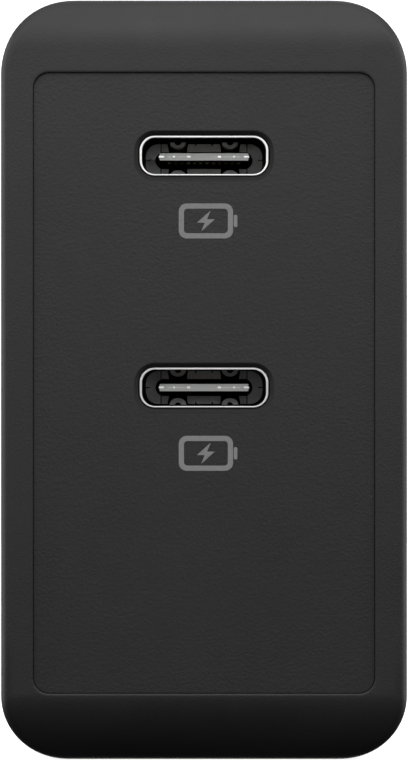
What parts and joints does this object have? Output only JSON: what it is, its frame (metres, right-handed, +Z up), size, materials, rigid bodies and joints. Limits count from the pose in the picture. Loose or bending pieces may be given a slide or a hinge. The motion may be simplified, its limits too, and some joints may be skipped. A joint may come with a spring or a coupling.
{
  "type": "usb wall charger",
  "caption": "Upright matt black wall charger with stacked USB-C ports in an inset front panel and a folding two-blade plug at the back.",
  "frame": {"origin": "centre of the flat wall face of the rear cover, midway between the two blades in X and at mid height in Z", "axes": "+Y out of the wall face along the blades, -Y out of the port face, +Z up, +X to the right when looking at the ports"},
  "size_m": [0.028, 0.065, 0.053],
  "materials": {
    "housing": "matt black, fine moulded texture",
    "panel": "matt black, slightly coarser texture",
    "rear_housing": "matt black, fine moulded texture",
    "print_grey": "grey pad print",
    "port_steel": "bright drawn steel",
    "mid_plate_steel": "stamped steel",
    "port_plastic": "moulded black",
    "contact_gold": "gold flash",
    "carrier_plastic": "satin black",
    "blade_nickel": "nickel plate",
    "inner_plastic": "moulded black",
    "screw_steel": "zinc plate",
    "spring_bronze": "phosphor bronze",
    "wire_sleeve": "smooth insulation",
    "board_green": "solder mask",
    "insulation_paper": "insulation film",
    "spreader_aluminium": "mill finish",
    "thermal_rubber": "soft pad",
    "fuse_body": "shrink sleeve",
    "ferrite": "sintered ferrite",
    "winding_copper": "enamelled wire",
    "film_box": "moulded box",
    "chip_black": "moulded package",
    "capacitor_sleeve": "shrink sleeve",
    "winding_tape": "polyester tape",
    "ceramic_blue": "epoxy coat",
    "white_plastic": "moulded package",
    "capacitor_can": "bright can"
  },
  "bodies": {
    "charger": {"housing_sleeve": "housing", "front_panel": "panel", "rear_cover": "rear_housing", "upper_port_shell": "port_steel", "upper_port_tongue": "port_plastic", "upper_port_mid_plate": "mid_plate_steel", "upper_port_contacts": "contact_gold", "upper_port_collar": "port_plastic", "upper_port_mark": "print_grey", "lower_port_shell": "port_steel", "lower_port_tongue": "port_plastic", "lower_port_mid_plate": "mid_plate_steel", "lower_port_contacts": "contact_gold", "lower_port_collar": "port_plastic", "lower_port_mark": "print_grey", "pivot_clamp_left": "inner_plastic", "pivot_clamp_right": "inner_plastic", "clamp_screw_left": "screw_steel", "clamp_screw_right": "screw_steel", "contact_spring_left": "spring_bronze", "contact_spring_right": "spring_bronze", "detent_spring": "spring_bronze", "lead_wire_left": "wire_sleeve", "lead_wire_right": "wire_sleeve", "main_board": "board_green", "port_board": "board_green", "board_link": "inner_plastic", "insulation_wrap": "insulation_paper", "heat_spreader": "spreader_aluminium", "thermal_pad": "thermal_rubber", "fuse": "fuse_body", "choke_core": "ferrite", "choke_winding_upper": "winding_copper", "choke_winding_lower": "winding_copper", "x_capacitor": "film_box", "bridge_rectifier": "chip_black", "bulk_capacitor_upper": "capacitor_sleeve", "bulk_capacitor_middle": "capacitor_sleeve", "bulk_capacitor_lower": "capacitor_sleeve", "transformer_bobbin": "inner_plastic", "transformer_winding": "winding_tape", "transformer_core_base": "ferrite", "transformer_core_top": "ferrite", "y_capacitor": "ceramic_blue", "main_switch": "chip_black", "primary_controller": "chip_black", "optocoupler": "white_plastic", "sync_rectifier": "chip_black", "output_capacitor_front": "capacitor_can", "output_capacitor_rear": "capacitor_can", "upper_port_controller": "chip_black", "lower_port_controller": "chip_black", "upper_port_inductor": "ferrite", "lower_port_inductor": "ferrite"},
    "plug": {"plug_carrier": "carrier_plastic", "blade_left": "blade_nickel", "blade_right": "blade_nickel"}
  },
  "joints": [
    {"name": "plug_fold", "type": "hinge", "parent": "charger", "child": "plug", "pos_m": [0, -0.0037, 0.009], "axis": [-1, 0, 0], "range_deg": [0, 90], "deforming": ["detent_spring"]}
  ]
}
